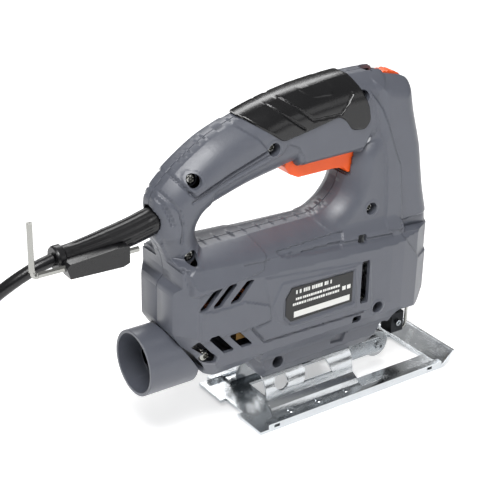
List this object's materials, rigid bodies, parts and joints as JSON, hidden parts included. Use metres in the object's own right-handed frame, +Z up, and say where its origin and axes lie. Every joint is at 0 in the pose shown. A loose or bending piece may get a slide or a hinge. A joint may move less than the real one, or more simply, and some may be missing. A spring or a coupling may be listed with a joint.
{
  "type": "corded jigsaw",
  "caption": "Corded D-handle jigsaw with tilting pressed-steel base, blade roller, dust port, trigger, speed dial and a hex key clipped under the cord sheath.",
  "frame": {"origin": "where the blade's centre line meets the underside of the sole", "axes": "+X the cutting direction, towards the front of the saw; +Z up along the blade line; +Y the tool's left side"},
  "size_m": [0.4345, 0.091, 0.2],
  "materials": {
    "shell_plastic": "moulded glass-filled nylon, fine spark-eroded grain",
    "grip_rubber": "soft overmoulding, satin black",
    "orange_plastic": "moulded orange, slightly glossy",
    "cord_rubber": "black rubber, satin",
    "zinc_steel": "bright zinc-plated pressed steel",
    "tool_steel": "ground steel",
    "black_steel": "black oxide",
    "nickel_steel": "nickel plated",
    "cast_alloy": "die cast",
    "lamination": "stacked electrical steel",
    "copper": "enamelled copper wire and bars",
    "bronze": "sintered bronze",
    "carbon": "pressed carbon",
    "black_plastic": "moulded black",
    "white_plastic": "moulded off-white nylon",
    "board": "glass-epoxy board",
    "yellow_film": "wound film capacitor",
    "label_film": "printed polyester label"
  },
  "bodies": {
    "root": {"housing_right": "shell_plastic", "housing_left": "shell_plastic", "grip_right": "grip_rubber", "grip_left": "grip_rubber", "dust_port": "shell_plastic", "cord_sheath": "cord_rubber", "power_cord": "cord_rubber", "cord_coil": "cord_rubber", "cord_tail": "cord_rubber", "cord_tie": "black_plastic", "plug_body": "cord_rubber", "plug_pins": "nickel_steel", "key_holder": "cord_rubber", "rating_label": "label_film", "trigger_pin": "tool_steel", "trigger_spring": "tool_steel", "lock_spring": "tool_steel", "switch_module": "black_plastic", "dial_board": "board", "cord_clamp": "black_plastic", "cord_clamp_screws": "zinc_steel", "capacitor": "yellow_film", "stator_core": "lamination", "field_coils": "copper", "front_bearing": "tool_steel", "rear_bearing": "tool_steel", "brush_holders": "bronze", "carbon_brushes": "carbon", "brush_springs": "tool_steel", "gear_bracket": "cast_alloy", "gear_axle": "tool_steel", "plunger_bushes": "bronze", "roller_bracket": "zinc_steel", "roller_pin": "zinc_steel", "guard_wire": "nickel_steel", "bevel_bolt": "black_steel", "bevel_clamp_plate": "tool_steel", "bevel_nut": "zinc_steel", "housing_screws": "black_steel"},
    "rotor": {"armature_shaft": "tool_steel", "armature_core": "lamination", "armature_winding": "copper", "commutator": "copper", "cooling_fan": "white_plastic"},
    "crank": {"crank_gear": "tool_steel"},
    "blade_carrier": {"plunger": "tool_steel", "blade_clamp": "black_steel", "clamp_screws": "zinc_steel"},
    "trigger_lever": {"trigger": "orange_plastic"},
    "lock_knob": {"lock_button": "black_plastic"},
    "speed_wheel": {"speed_dial": "orange_plastic"},
    "base": {"base_plate": "zinc_steel", "base_cradle": "zinc_steel", "cradle_rivets": "zinc_steel"},
    "roller": {"support_roller": "tool_steel"},
    "key": {"hex_key": "nickel_steel"}
  },
  "joints": [
    {"name": "rotor_spin", "type": "hinge", "parent": "root", "child": "rotor", "pos_m": [-0.097, 0, 0.068], "axis": [1, 0, 0], "continuous": true},
    {"name": "crank_spin", "type": "hinge", "parent": "root", "child": "crank", "pos_m": [-0.017, 0, 0.088], "axis": [1, 0, 0], "continuous": true},
    {"name": "plunger_slide", "type": "slide", "parent": "root", "child": "blade_carrier", "axis": [0, 0, 1], "range_m": [-0.009, 0.009]},
    {"name": "trigger_press", "type": "hinge", "parent": "root", "child": "trigger_lever", "pos_m": [-0.043, 0, 0.162], "axis": [0, 1, 0], "range_deg": [0, 6], "stiffness_Nm_per_rad": 2, "springref_deg": -5.73},
    {"name": "lock_press", "type": "slide", "parent": "root", "child": "lock_knob", "axis": [0, -1, 0], "range_m": [0, 0.003], "stiffness_N_per_m": 300, "springref_m": -0.002},
    {"name": "dial_turn", "type": "hinge", "parent": "root", "child": "speed_wheel", "pos_m": [-0.023, 0, 0.182], "axis": [0, 1, 0], "range_deg": [0, 270]},
    {"name": "base_bevel", "type": "hinge", "parent": "root", "child": "base", "pos_m": [-0.078, 0, 0.012], "axis": [1, 0, 0], "range_deg": [-45, 45]},
    {"name": "roller_spin", "type": "hinge", "parent": "root", "child": "roller", "pos_m": [-0.0145, 0, 0.0125], "axis": [0, 1, 0], "continuous": true},
    {"name": "key_pull", "type": "slide", "parent": "root", "child": "key", "axis": [-1, 0, 0], "range_m": [0, 0.062]}
  ],
  "couplings": [
    {"joint": "crank_spin", "follows": "rotor_spin", "ratio": -0.13636}
  ]
}
